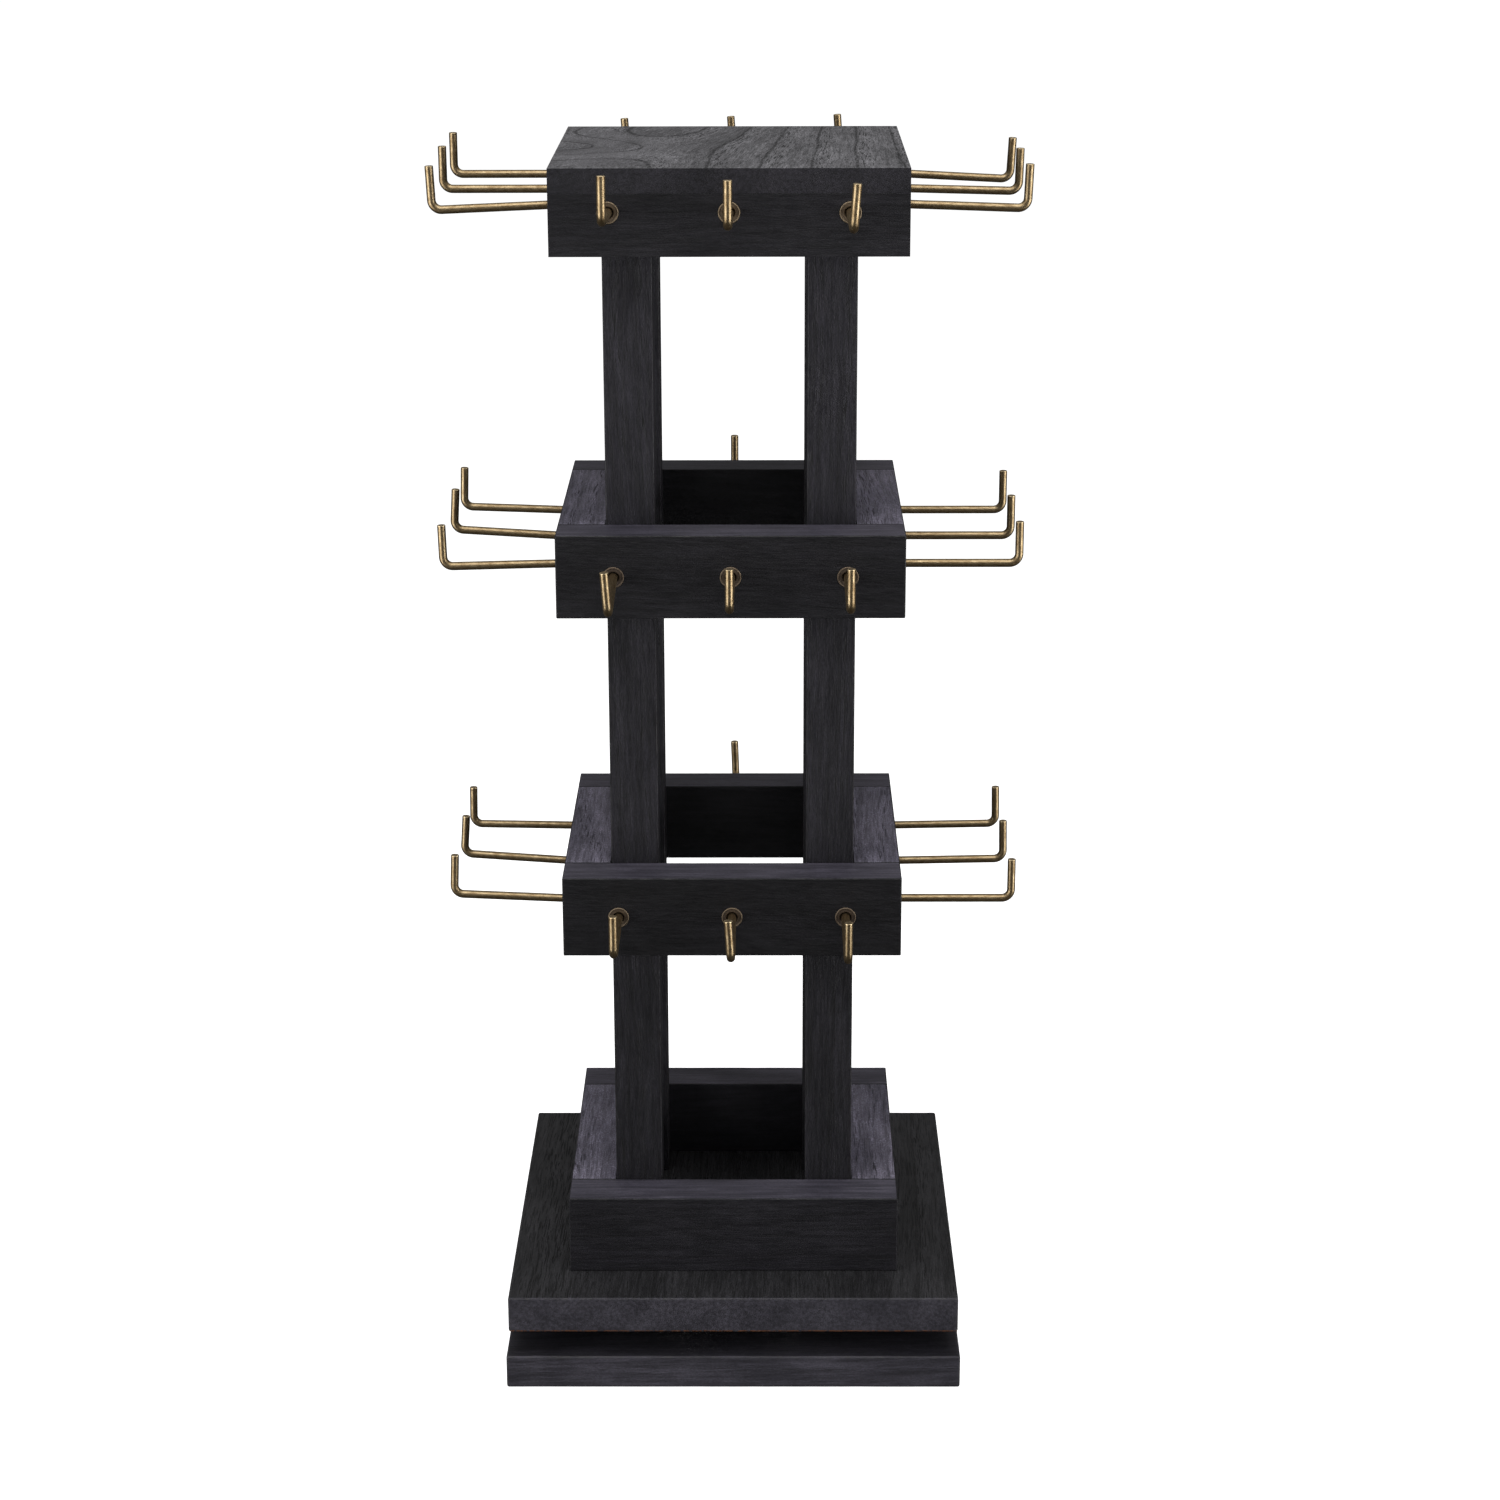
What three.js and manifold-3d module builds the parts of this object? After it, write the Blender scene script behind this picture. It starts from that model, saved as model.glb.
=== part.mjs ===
// A three-tier revolving hook stand for a shop counter: black-stained boards, bronze L hooks.
// Millimetres, +Z up. The origin is the centre of the base board's underside, and -Y is the front.
import * as THREE from "three";
import { mergeVertices } from "three/addons/utils/BufferGeometryUtils.js";
import Module from "manifold-3d";

const wasm = await Module();
wasm.setup();

// Driving dimensions
const BASE_WIDTH = 158;
const BASE_THICKNESS = 12;
const TURNTABLE_WIDTH = 156;
const TURNTABLE_THICKNESS = 13;
const TOWER_WIDTH = 115;
const BOARD_THICKNESS = 16; // frame boards, and both sides of a post
const FRAME_HEIGHT = 28;
const TIER_PITCH = 119;
const CAP_THICKNESS = 8;
const EDGE_EASE = 0.8;
const GLUE_LINE = 0.3;

// Lazy-susan bearing between the two bottom boards
const BEARING_HEIGHT = 9;
const PLATE_WIDTH = 100;
const PLATE_THICKNESS = 1.2;
const PLATE_OPENING_RADIUS = 28;
const PLATE_SCREW_SPACING = 84;
const PLATE_SCREW_HOLE_RADIUS = 2.1;
const RACE_RADIUS = 38;
const RACE_WALL_THICKNESS = 1.2;
const RACE_WALL_HEIGHT = 2.7;
const BALL_COUNT = 12;
const BALL_RADIUS = 3;
const BALL_CLEARANCE = 0.3;
const CAGE_THICKNESS = 0.8;

// Hooks: a bent rod in a round threaded insert that is let into the board's face
const HOOKS_PER_SIDE = 3;
const HOOK_PITCH = 38.5;
const HOOK_HEIGHT_IN_FRAME = 14;
const ROD_RADIUS = 1.4;
const ROD_REACH = 38.6; // from the board's face to the axis of the upturned tip
const ROD_ROOT_DEPTH = 7;
const TIP_HEIGHT = 14.2; // from the rod's axis to the end of the tip
const BEND_RADIUS = 3.2;
const INSERT_RADIUS = 3.55;
const INSERT_DEPTH = 10;
const INSERT_RIM_HEIGHT = 0.3;
const INSERT_RIM_CHAMFER = 0.4;

// Facets
const ROD_SIDES = 8;
const BEND_STEPS = 3;
const INSERT_SIDES = 12;
const RACE_SIDES = 32;
const BALL_SIDES = 8;
const BALL_RINGS = 6;

// Levels, from the ground up
const TURNTABLE_BOTTOM = BASE_THICKNESS + BEARING_HEIGHT;
const TOWER_BOTTOM = TURNTABLE_BOTTOM + TURNTABLE_THICKNESS;
const TOP_FRAME_BOTTOM = TOWER_BOTTOM + 3 * TIER_PITCH;
const TOP_FRAME_HEIGHT = FRAME_HEIGHT - CAP_THICKNESS;
const CAP_BOTTOM = TOP_FRAME_BOTTOM + TOP_FRAME_HEIGHT;

const TIERS = [
  { name: "lower", bottom: TOWER_BOTTOM + TIER_PITCH, height: FRAME_HEIGHT },
  { name: "middle", bottom: TOWER_BOTTOM + 2 * TIER_PITCH, height: FRAME_HEIGHT },
  { name: "top", bottom: TOP_FRAME_BOTTOM, height: TOP_FRAME_HEIGHT },
];

// Each side's turn about +Z from the front, and whether its boards run the tower's full width.
const SIDES = [
  { name: "front", turn: 0, fullWidth: true },
  { name: "right", turn: Math.PI / 2, fullWidth: false },
  { name: "rear", turn: Math.PI, fullWidth: true },
  { name: "left", turn: -Math.PI / 2, fullWidth: false },
];

const HOOK_PLACES = ["left", "middle", "right"]; // as seen from outside that side

// Every hook is screwed in by hand and sits a little off true. Each pair is the rod's rise above
// level and the tip's roll to the right, in degrees, for the left, middle and right hook.
const HOOK_SETTINGS = {
  front: {
    lower: [[1, 0], [-1, -3.5], [-2, 0]],
    middle: [[-3.5, -4], [-2, 0], [-2, 0]],
    top: [[3.5, 0], [1.5, 0], [0, 4]],
  },
  right: {
    lower: [[0, 0], [1, 1], [1, 0]],
    middle: [[0, 0], [0, -1], [0, 0]],
    top: [[-2, 0], [-1.5, 1], [-3, 0]],
  },
  rear: {
    lower: [[1, 0], [0, 2], [-1, 0]],
    middle: [[0, -2], [1, 0], [-1, 1]],
    top: [[-0.5, 4], [-1.5, 4], [-2.5, 4]],
  },
  left: {
    lower: [[1, 0], [4, 0], [2.5, 0]],
    middle: [[2, 0], [3.5, 0], [-1.5, 0]],
    top: [[0, 0], [0, 1], [-2.5, 0]],
  },
};

const blackStainedWood = () =>
  new THREE.MeshStandardMaterial({ color: 0x29282b, roughness: 0.72, metalness: 0 });
const agedBronze = () =>
  new THREE.MeshStandardMaterial({ color: 0x8a6c45, roughness: 0.38, metalness: 1 });
const zincPlatedSteel = () =>
  new THREE.MeshStandardMaterial({ color: 0xb4b8ba, roughness: 0.35, metalness: 1 });

function toSolid(geometry) {
  const bare = geometry.clone();
  bare.deleteAttribute("normal");
  bare.deleteAttribute("uv");
  const merged = mergeVertices(bare);
  return new wasm.Manifold(
    new wasm.Mesh({
      numProp: 3,
      vertProperties: merged.attributes.position.array,
      triVerts: new Uint32Array(merged.index.array),
    }),
  );
}

function toGeometry(solid) {
  const mesh = solid.getMesh();
  const geometry = new THREE.BufferGeometry();
  geometry.setAttribute("position", new THREE.BufferAttribute(mesh.vertProperties, 3));
  geometry.setIndex(new THREE.BufferAttribute(mesh.triVerts, 1));
  geometry.computeVertexNormals();
  return geometry;
}

function joined(geometries) {
  return geometries.map(toSolid).reduce((whole, piece) => whole.add(piece));
}

// A rectangle centred on the origin whose corners are cut back by the edge ease.
function easedRectangle(width, depth, inset) {
  const x = width / 2 - inset;
  const y = depth / 2 - inset;
  const cut = EDGE_EASE;
  return new THREE.Shape([
    new THREE.Vector2(x, -y + cut),
    new THREE.Vector2(x, y - cut),
    new THREE.Vector2(x - cut, y),
    new THREE.Vector2(-x + cut, y),
    new THREE.Vector2(-x, y - cut),
    new THREE.Vector2(-x, -y + cut),
    new THREE.Vector2(-x + cut, -y),
    new THREE.Vector2(x - cut, -y),
  ]);
}

// A board or post with every edge eased, standing on z = 0.
function easedBlock(width, depth, height) {
  const geometry = new THREE.ExtrudeGeometry(easedRectangle(width, depth, EDGE_EASE), {
    depth: height - 2 * EDGE_EASE,
    bevelEnabled: true,
    bevelThickness: EDGE_EASE,
    bevelSize: EDGE_EASE,
    bevelSegments: 1,
  });
  return geometry.translate(0, 0, EDGE_EASE);
}

// The axis of a hook's rod, from inside the board out along -Y and up to the end of the tip. The
// curve's parameter steps once along each straight and BEND_STEPS times round the bend.
class HookAxis extends THREE.Curve {
  constructor() {
    super();
    this.steps = BEND_STEPS + 2;
  }

  // How far round the bend the station at t is, 0 to a quarter turn.
  bendAngle(t) {
    const share = (t * this.steps - 1) / BEND_STEPS;
    return THREE.MathUtils.clamp(share, 0, 1) * (Math.PI / 2);
  }

  getPoint(t) {
    const angle = this.bendAngle(t);
    const rootRun = Math.max(0, 1 - t * this.steps) * (ROD_ROOT_DEPTH + ROD_REACH - BEND_RADIUS);
    const tipRun = Math.max(0, t * this.steps - 1 - BEND_STEPS) * (TIP_HEIGHT - BEND_RADIUS);
    return new THREE.Vector3(
      0,
      rootRun - ROD_REACH + BEND_RADIUS * (1 - Math.sin(angle)),
      tipRun + BEND_RADIUS * (1 - Math.cos(angle)),
    );
  }

  getTangent(t) {
    const angle = this.bendAngle(t);
    return new THREE.Vector3(0, -Math.cos(angle), Math.sin(angle));
  }

  getUtoTmapping(u) {
    return u;
  }
}

function rodGeometry() {
  const corners = [];
  for (let i = 0; i < ROD_SIDES; i += 1) {
    const angle = ((i + 0.5) / ROD_SIDES) * 2 * Math.PI;
    corners.push(new THREE.Vector2(Math.cos(angle), Math.sin(angle)).multiplyScalar(ROD_RADIUS));
  }
  const axis = new HookAxis();
  return new THREE.ExtrudeGeometry(new THREE.Shape(corners), {
    steps: axis.steps,
    extrudePath: axis,
  });
}

// The insert's barrel lies along +Y inside the board, and its rim stands just proud of the face.
function insertGeometry() {
  const rimRadius = INSERT_RADIUS - INSERT_RIM_CHAMFER;
  const profile = [
    new THREE.Vector2(0, -INSERT_RIM_HEIGHT),
    new THREE.Vector2(rimRadius, -INSERT_RIM_HEIGHT),
    new THREE.Vector2(INSERT_RADIUS, 0),
    new THREE.Vector2(INSERT_RADIUS, INSERT_DEPTH),
    new THREE.Vector2(0, INSERT_DEPTH),
  ];
  return new THREE.LatheGeometry(profile, INSERT_SIDES);
}

// One hook with its insert. Its origin is the insert's centre on the board's face.
function hookGeometry([riseDegrees, rollDegrees]) {
  const rod = rodGeometry()
    .rotateY(THREE.MathUtils.degToRad(rollDegrees))
    .rotateX(-THREE.MathUtils.degToRad(riseDegrees));
  return toGeometry(joined([rod, insertGeometry()]));
}

// The local x of each hook on a side.
function hookOffsets() {
  return HOOK_PLACES.map((_, i) => (i - (HOOKS_PER_SIDE - 1) / 2) * HOOK_PITCH);
}

// The bores for one tier's inserts, all four sides, with the frame standing on z = 0.
function insertBores() {
  const bores = [];
  for (const { turn } of SIDES) {
    for (const x of hookOffsets()) {
      const depth = INSERT_DEPTH + 2 * GLUE_LINE;
      const bore = new THREE.CylinderGeometry(
        INSERT_RADIUS + GLUE_LINE,
        INSERT_RADIUS + GLUE_LINE,
        depth,
        INSERT_SIDES,
      );
      bore.translate(x, depth / 2 - GLUE_LINE - TOWER_WIDTH / 2, HOOK_HEIGHT_IN_FRAME);
      bores.push(bore.rotateZ(turn));
    }
  }
  return joined(bores);
}

// A frame board on the front side of its frame, bored for the inserts of its own hooks and for the
// edge of its neighbours' end inserts.
function frameBoardGeometry(fullWidth, height, bores) {
  const clearInside = TOWER_WIDTH - 2 * BOARD_THICKNESS - 2 * GLUE_LINE;
  const board = easedBlock(fullWidth ? TOWER_WIDTH : clearInside, BOARD_THICKNESS, height);
  board.translate(0, (BOARD_THICKNESS - TOWER_WIDTH) / 2, 0);
  return toGeometry(toSolid(board).subtract(bores));
}

// The base frame's four boards are glued into one square, open at the top and the bottom.
function baseFrameGeometry() {
  const inside = TOWER_WIDTH - 2 * BOARD_THICKNESS;
  const outline = toSolid(easedBlock(TOWER_WIDTH, TOWER_WIDTH, FRAME_HEIGHT));
  const well = new THREE.BoxGeometry(inside, inside, 2 * FRAME_HEIGHT);
  return toGeometry(outline.subtract(toSolid(well)));
}

// A ring about +Z with a rectangular section, from z = bottom to z = top.
function ringGeometry(innerRadius, outerRadius, bottom, top) {
  const profile = [
    new THREE.Vector2(innerRadius, bottom),
    new THREE.Vector2(outerRadius, bottom),
    new THREE.Vector2(outerRadius, top),
    new THREE.Vector2(innerRadius, top),
    new THREE.Vector2(innerRadius, bottom),
  ];
  return new THREE.LatheGeometry(profile, RACE_SIDES).rotateX(Math.PI / 2);
}

function circlePath(x, y, radius) {
  return new THREE.Path().absarc(x, y, radius, 0, 2 * Math.PI, true);
}

// A square plate with a round opening, four screw holes and the two walls of the ball race on its
// upper face. It lies on z = 0.
function bearingPlateGeometry() {
  const half = PLATE_WIDTH / 2;
  const screw = PLATE_SCREW_SPACING / 2;
  const outline = new THREE.Shape([
    new THREE.Vector2(-half, -half),
    new THREE.Vector2(half, -half),
    new THREE.Vector2(half, half),
    new THREE.Vector2(-half, half),
  ]);
  outline.holes.push(circlePath(0, 0, PLATE_OPENING_RADIUS));
  for (const x of [-screw, screw]) {
    for (const y of [-screw, screw]) {
      outline.holes.push(circlePath(x, y, PLATE_SCREW_HOLE_RADIUS));
    }
  }
  const plate = new THREE.ExtrudeGeometry(outline, {
    depth: PLATE_THICKNESS,
    bevelEnabled: false,
    curveSegments: RACE_SIDES / 4,
  });
  const toWall = BALL_RADIUS + BALL_CLEARANCE;
  const inner = RACE_RADIUS - toWall;
  const outer = RACE_RADIUS + toWall;
  const root = PLATE_THICKNESS / 2;
  const crest = PLATE_THICKNESS + RACE_WALL_HEIGHT;
  return toGeometry(
    joined([
      plate,
      ringGeometry(inner - RACE_WALL_THICKNESS, inner, root, crest),
      ringGeometry(outer, outer + RACE_WALL_THICKNESS, root, crest),
    ]),
  );
}

// The balls with the flat cage that spaces them, centred on the origin.
function ballRingGeometry() {
  const halfWidth = BALL_RADIUS - BALL_CLEARANCE;
  const pieces = [
    ringGeometry(
      RACE_RADIUS - halfWidth,
      RACE_RADIUS + halfWidth,
      -CAGE_THICKNESS / 2,
      CAGE_THICKNESS / 2,
    ),
  ];
  for (let i = 0; i < BALL_COUNT; i += 1) {
    const ball = new THREE.SphereGeometry(BALL_RADIUS, BALL_SIDES, BALL_RINGS);
    ball.rotateX(Math.PI / 2).translate(RACE_RADIUS, 0, 0);
    pieces.push(ball.rotateZ((i / BALL_COUNT) * 2 * Math.PI));
  }
  return toGeometry(joined(pieces));
}

function piece(name, geometry, material, x = 0, y = 0, z = 0) {
  const mesh = new THREE.Mesh(geometry, material);
  mesh.name = name;
  mesh.position.set(x, y, z);
  return mesh;
}

function makeBase() {
  const group = new THREE.Group();
  group.add(
    piece("base_board", easedBlock(BASE_WIDTH, BASE_WIDTH, BASE_THICKNESS), blackStainedWood()),
    piece("bearing_lower_plate", bearingPlateGeometry(), zincPlatedSteel(), 0, 0, BASE_THICKNESS),
    piece(
      "bearing_ball_ring",
      ballRingGeometry(),
      zincPlatedSteel(),
      0,
      0,
      BASE_THICKNESS + BEARING_HEIGHT / 2,
    ),
  );
  return group;
}

function makeTurntable() {
  const group = new THREE.Group();
  const upperPlate = piece("bearing_upper_plate", bearingPlateGeometry(), zincPlatedSteel());
  upperPlate.position.z = TURNTABLE_BOTTOM;
  upperPlate.rotation.x = Math.PI;
  const board = easedBlock(TURNTABLE_WIDTH, TURNTABLE_WIDTH, TURNTABLE_THICKNESS);
  group.add(
    upperPlate,
    piece("turntable_board", board, blackStainedWood(), 0, 0, TURNTABLE_BOTTOM),
    piece("base_frame", baseFrameGeometry(), blackStainedWood(), 0, 0, TOWER_BOTTOM),
  );
  return group;
}

// Four posts, one glued into each inner corner of the frames.
function makePosts() {
  const group = new THREE.Group();
  const height = CAP_BOTTOM - TOWER_BOTTOM;
  const offset = TOWER_WIDTH / 2 - 1.5 * BOARD_THICKNESS - GLUE_LINE;
  const corners = [
    ["front_left", -1, -1],
    ["front_right", 1, -1],
    ["rear_left", -1, 1],
    ["rear_right", 1, 1],
  ];
  for (const [corner, x, y] of corners) {
    const post = easedBlock(BOARD_THICKNESS, BOARD_THICKNESS, height);
    group.add(
      piece("post_" + corner, post, blackStainedWood(), x * offset, y * offset, TOWER_BOTTOM),
    );
  }
  return group;
}

// One side of a tier: its frame board and three hooks, built facing -Y and turned into place.
function makeTierSide(tier, side, bores) {
  const group = new THREE.Group();
  group.rotation.z = side.turn;
  const board = frameBoardGeometry(side.fullWidth, tier.height, bores);
  group.add(piece(`frame_${tier.name}_${side.name}`, board, blackStainedWood()));
  hookOffsets().forEach((x, i) => {
    const geometry = hookGeometry(HOOK_SETTINGS[side.name][tier.name][i]);
    const name = `hook_${tier.name}_${side.name}_${HOOK_PLACES[i]}`;
    group.add(
      piece(name, geometry, agedBronze(), x, -TOWER_WIDTH / 2, HOOK_HEIGHT_IN_FRAME),
    );
  });
  return group;
}

function makeTier(tier, bores) {
  const group = new THREE.Group();
  group.position.z = tier.bottom;
  for (const side of SIDES) {
    group.add(makeTierSide(tier, side, bores));
  }
  return group;
}

function makeCapBoard() {
  const board = easedBlock(TOWER_WIDTH, TOWER_WIDTH, CAP_THICKNESS);
  return piece("cap_board", board, blackStainedWood(), 0, 0, CAP_BOTTOM);
}

function makeStand() {
  const stand = new THREE.Group();
  const bores = insertBores();
  stand.add(makeBase(), makeTurntable(), makePosts(), makeCapBoard());
  for (const tier of TIERS) {
    stand.add(makeTier(tier, bores));
  }
  return stand;
}

export default makeStand();
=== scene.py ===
"""The looks of the revolving counter hook stand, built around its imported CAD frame."""

import copy
import math
import random
from types import SimpleNamespace

import bmesh
import bpy
from mathutils import Matrix, Vector, noise


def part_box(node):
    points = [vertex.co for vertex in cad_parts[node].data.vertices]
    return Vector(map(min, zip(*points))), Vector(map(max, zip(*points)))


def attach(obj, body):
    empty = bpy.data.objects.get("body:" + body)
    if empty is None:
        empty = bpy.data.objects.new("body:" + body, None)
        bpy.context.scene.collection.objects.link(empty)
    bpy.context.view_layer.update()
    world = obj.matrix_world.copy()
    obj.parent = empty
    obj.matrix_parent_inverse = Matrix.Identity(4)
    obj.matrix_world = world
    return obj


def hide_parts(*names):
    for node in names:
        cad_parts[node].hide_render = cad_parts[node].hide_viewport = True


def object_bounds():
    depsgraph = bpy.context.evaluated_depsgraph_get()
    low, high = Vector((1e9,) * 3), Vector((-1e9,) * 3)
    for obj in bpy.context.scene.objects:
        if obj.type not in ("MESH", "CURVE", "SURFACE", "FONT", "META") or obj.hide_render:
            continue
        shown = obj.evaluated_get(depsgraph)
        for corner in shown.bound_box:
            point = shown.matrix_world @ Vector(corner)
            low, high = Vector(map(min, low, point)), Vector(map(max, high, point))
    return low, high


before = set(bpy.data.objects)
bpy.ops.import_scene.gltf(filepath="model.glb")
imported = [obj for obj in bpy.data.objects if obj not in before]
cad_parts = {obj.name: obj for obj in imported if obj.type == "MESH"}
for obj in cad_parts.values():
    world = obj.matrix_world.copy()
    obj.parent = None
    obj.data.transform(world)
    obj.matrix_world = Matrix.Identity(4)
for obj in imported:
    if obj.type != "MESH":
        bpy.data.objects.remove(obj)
CAD_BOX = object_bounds()

MM = 0.001

# Each side of the tower: its name and its turn about +Z from the front, in degrees.
SIDES = {"front": 0, "right": 90, "rear": 180, "left": -90}
TIERS = ("lower", "middle", "top")
CORNERS = ("front_left", "front_right", "rear_left", "rear_right")
HOOK_PLACES = ("left", "middle", "right")

# Boards
EASE = 0.4 * MM  # radius of a frame board's or a post's rounded arrises
FOOT_EASE = 0.8 * MM  # the same on the two wide bottom boards
CRISP_EASE = 0.1 * MM  # the same on the top frame and its cap, which were sanded flush as one
EASE_ANGLES = (15, 30, 45)  # where an arris's curve has its rows, in degrees from the flat
ARRIS_BAND = 0.7 * MM  # the row that keeps the flat of a face flat
BOARD_PITCH = 5 * MM  # spacing of the rows between
ARRIS_WEAR = 0.07 * MM  # deepest dent in an arris
FACE_WAVE = 0.025 * MM  # planing marks and unevenness of a face
DENTS_PER_METRE = 180  # how close together the dents are
NICKS_PER_METRE = 420  # the same for the smaller nicks in them
WAVES_PER_METRE = 70
JOINT_GAP = 0.03 * MM  # what shows of a closed glue joint
TOP_SKIN = 0.3 * MM  # how near to its top a board counts as its top face, which takes the top's painted light or shade
HEART_DISTANCES = (38 * MM, 85 * MM)  # how far off a board its tree's heart may be
HEART_LEAN = 2.2  # how many degrees the heart may lean either way
GRAIN_SHIFT = 350.0  # millimetres along the grain from one board's wood to the next one's

# Hooks and their threaded inserts
ROD_RADIUS = 1.4 * MM
BEND_RADIUS = 3.2 * MM
ROD_REACH = 38.6 * MM
REACH_SPARE = 0.12 * MM  # keeps the round rod inside the CAD's faceted one
TIP_HEIGHT = 14.2 * MM
ROD_ROOT_DEPTH = 7 * MM
ROD_DENT = 0.018 * MM  # unevenness of the rod's plating
ROD_DENTS_PER_METRE = 500
ROD_SIDES = 28
STRAIGHT_STEPS = 12  # rows along the straight run, and next round the bend
BEND_STEPS = 12
RISE_SHARES = (0.2, 0.45, 0.7, 0.9, 0.97, 1.0)  # rows up the rod's upright end
BRONZE_SHIFT = 70.0  # millimetres of pattern from one hook's bronze to the next one's
INSERT_RADIUS = 3.55 * MM
INSERT_DEPTH = 10 * MM
INSERT_SIDES = 48
INSERT_TONES = (0.0, 0.22)  # how bright an insert's face may be, where a rod is 1
INSERT_SEED = 500  # the first insert's draw comes after this
BORE_CLEARANCE = 0.07 * MM
BORE_SPARE = 0.5 * MM  # how far a bore's cutter passes the insert's two ends
TIP_SLICE = 1 * MM  # the height of a CAD hook's top that gives the middle of its tip
END_SLICE = 0.1 * MM  # the depth of a CAD hook's inner end that gives the middle of its insert


# ---------------------------------------------------------------- node trees

class Tree:
    """Short calls for building a node tree. A socket given as a value is linked, and anything else
    is set."""

    def __init__(self, tree):
        self.tree = tree

    def add(self, kind, values=(), **settings):
        node = self.tree.nodes.new(kind)
        for name, value in settings.items():
            setattr(node, name, value)
        for name, value in dict(values).items():
            self.give(node.inputs[name], value)
        return node

    def give(self, socket, value):
        if isinstance(value, bpy.types.NodeSocket):
            self.tree.links.new(value, socket)
        else:
            socket.default_value = value

    def maths(self, operation, a, b=0.0, clamp=False):
        node = self.add("ShaderNodeMath", {0: a, 1: b}, operation=operation, use_clamp=clamp)
        return node.outputs[0]

    def times(self, first, *others):
        for other in others:
            first = self.maths("MULTIPLY", first, other)
        return first

    def plus(self, first, *others):
        for other in others:
            first = self.maths("ADD", first, other)
        return first

    def vector(self, operation, a, b):
        return self.add("ShaderNodeVectorMath", {0: a, 1: b}, operation=operation).outputs[0]

    def scaled(self, a, factors):
        return self.vector("MULTIPLY", a, factors)

    def noise(self, place, scale, detail=2.0, roughness=0.5):
        values = {"Vector": place, "Scale": scale, "Detail": detail, "Roughness": roughness}
        return self.add("ShaderNodeTexNoise", values).outputs["Fac"]

    def ramp(self, value, low, high, start=0.0, end=1.0, smooth=True):
        """Goes from start to end as value goes from low to high, and stays level outside."""
        values = {"Value": value, "From Min": low, "From Max": high, "To Min": start, "To Max": end}
        kind = "SMOOTHSTEP" if smooth else "LINEAR"
        return self.add("ShaderNodeMapRange", values, interpolation_type=kind).outputs[0]

    def colours(self, factor, a, b):
        """Two colours mixed, from a at factor 0 to b at factor 1."""
        node = self.add("ShaderNodeMix", data_type="RGBA", blend_type="MIX")
        for socket, value in zip((0, 6, 7), (factor, a, b)):
            self.give(node.inputs[socket], value)
        return node.outputs[2]

    def numbers(self, factor, a, b):
        node = self.add("ShaderNodeMix", data_type="FLOAT")
        for socket, value in zip((0, 2, 3), (factor, a, b)):
            self.give(node.inputs[socket], value)
        return node.outputs[0]

    def attribute(self, name):
        node = self.add("ShaderNodeAttribute", attribute_name=name, attribute_type="GEOMETRY")
        return node.outputs["Vector"]

    def parts(self, vector):
        return self.add("ShaderNodeSeparateXYZ", {0: vector}).outputs

    def bump(self, shader, height, strength, distance):
        values = {"Strength": strength, "Distance": distance, "Height": height}
        self.give(shader.inputs["Normal"], self.add("ShaderNodeBump", values).outputs["Normal"])


def new_material(name):
    """A node material with only its Principled shader, and the Tree to build the rest with."""
    material = bpy.data.materials.new(name)
    material.use_nodes = True
    shader = next(n for n in material.node_tree.nodes if n.type == "BSDF_PRINCIPLED")
    return material, Tree(material.node_tree), shader


def grey(value, tint=(1.0, 1.0, 1.0)):
    return (value * tint[0], value * tint[1], value * tint[2], 1.0)


# ---------------------------------------------------------------- materials

STAIN = 0.0095  # how light the black stain is
VIOLET_TINTS = ((0.97, 0.91, 1.28), (1.03, 0.94, 1.18))  # of the stain, where the ring lines are faint
NEUTRAL_TINT = (0.985, 0.965, 1.03)  # of the stain, where they are strong
RUBBED_TINT = (0.97, 0.95, 1.0)
RUBBED_LIGHTER = 2.6  # how much lighter the stain is on a rubbed arris
BARE_WOOD = (0.085, 0.030, 0.010, 1.0)


def growth_rings(t, place, fibre, pore_noise, ring_width):
    """How far each place is through its growth ring, from 0 to 1, with a ragged edge."""
    distance = t.add("ShaderNodeVectorMath", {0: place}, operation="LENGTH").outputs["Value"]
    ragged = t.plus(distance, t.times(t.plus(fibre, pore_noise), 0.9))
    return t.maths("FRACT", t.maths("DIVIDE", ragged, t.times(ring_width, 10.0)))


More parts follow.
